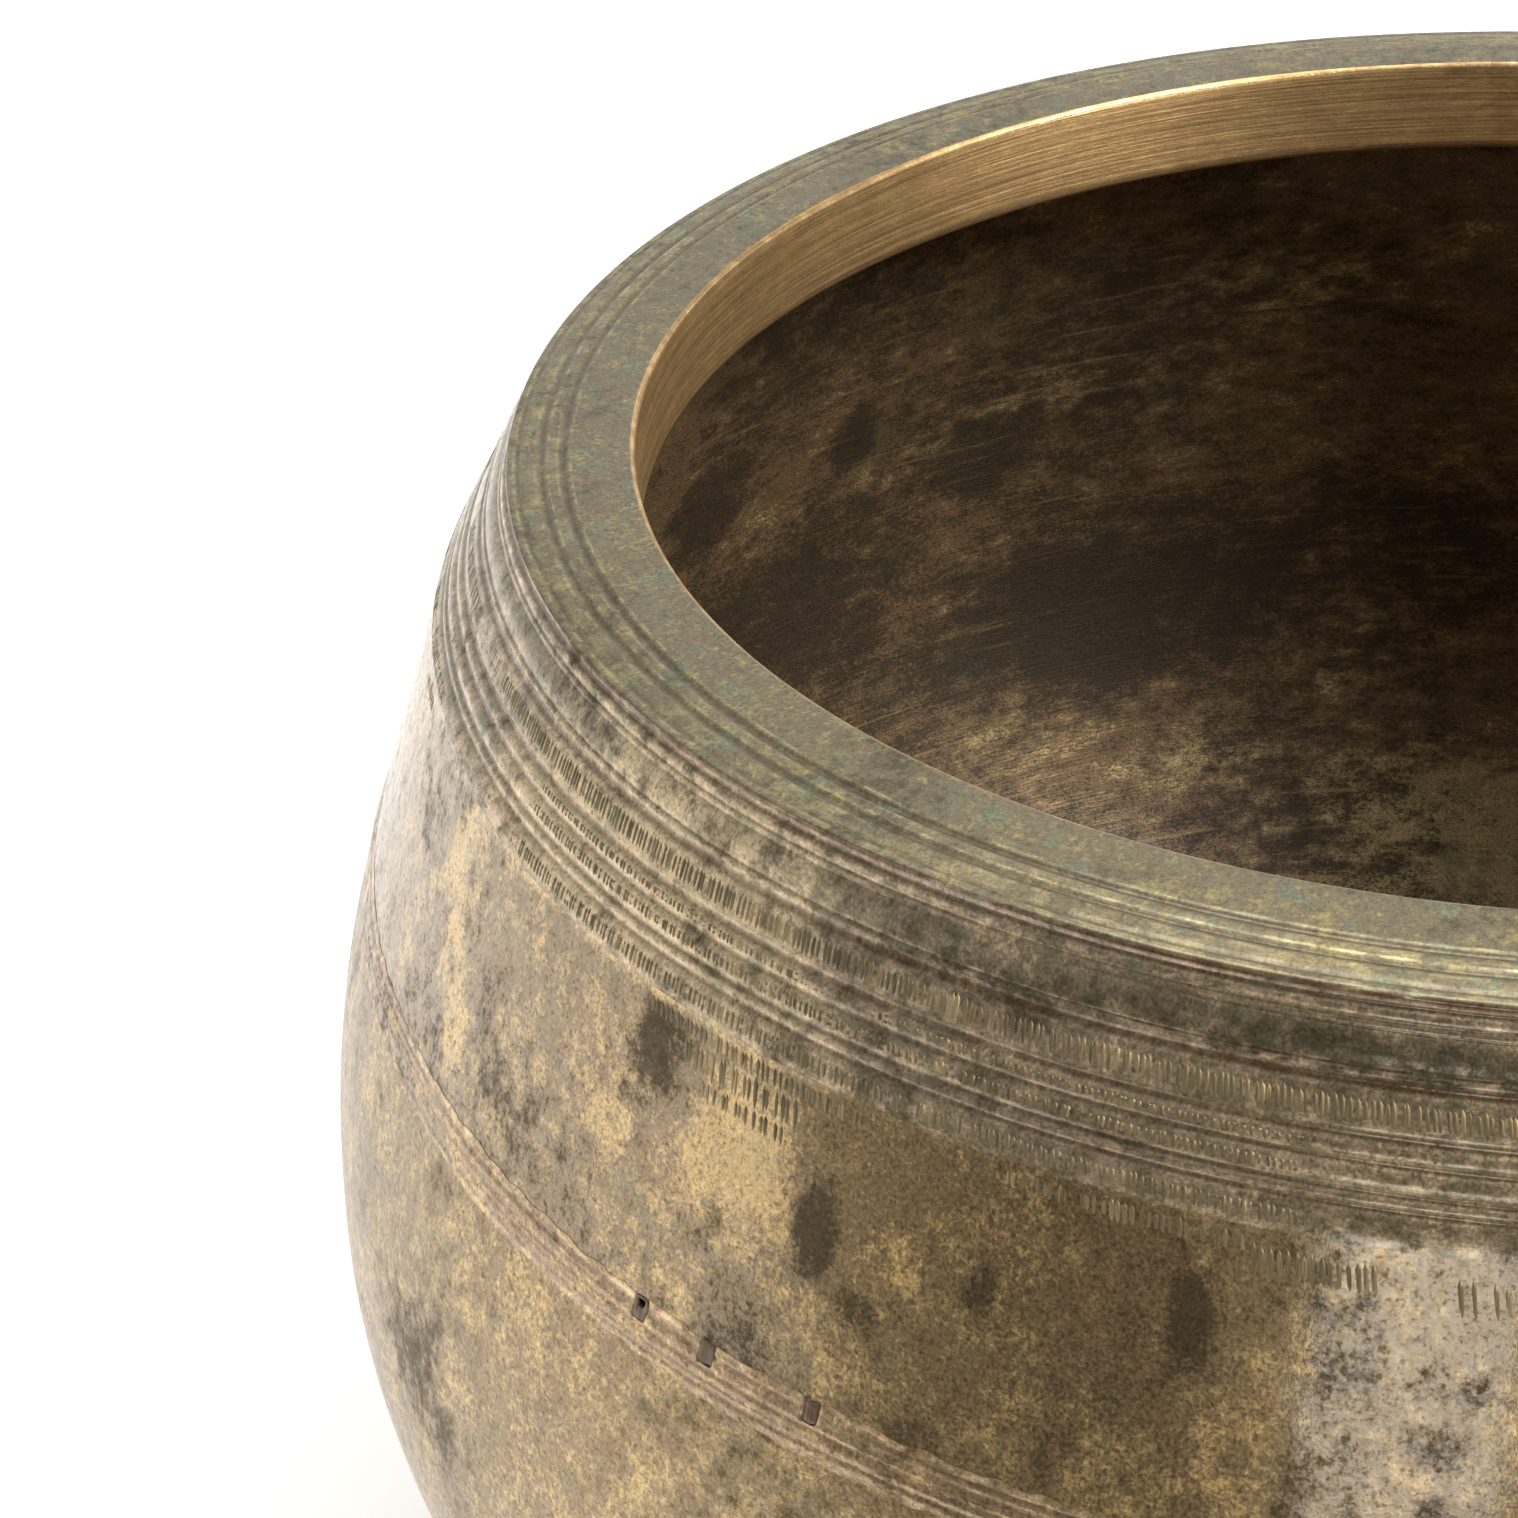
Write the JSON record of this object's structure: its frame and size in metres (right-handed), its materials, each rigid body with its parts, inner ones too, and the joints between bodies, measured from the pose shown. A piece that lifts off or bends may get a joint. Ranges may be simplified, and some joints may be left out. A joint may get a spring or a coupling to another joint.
{
  "type": "brass urli bowl",
  "caption": "Heavy cast brass cooking bowl with a broad flat rim, turned shoulder bands and a soldered seam round the belly; dark aged patina, open top, flat base.",
  "frame": {"origin": "centre of the flat base", "axes": "+Z is the bowl's own axis and points up out of the mouth; X and Y lie in the plane of the base"},
  "size_m": [0.332, 0.332, 0.196],
  "materials": {
    "aged_brass": "lathe-turned, aged brown and grey-green patina, worn golden edges",
    "cast_brass": "cast and scraped, mottled golden-tan patina",
    "hard_solder": "filed along its length, satin",
    "iron": "dark oxidised"
  },
  "bodies": {
    "root": {"upper_casting": "aged_brass", "lower_casting": "cast_brass", "seam_band": "hard_solder", "seam_pins": "iron"}
  },
  "joints": []
}
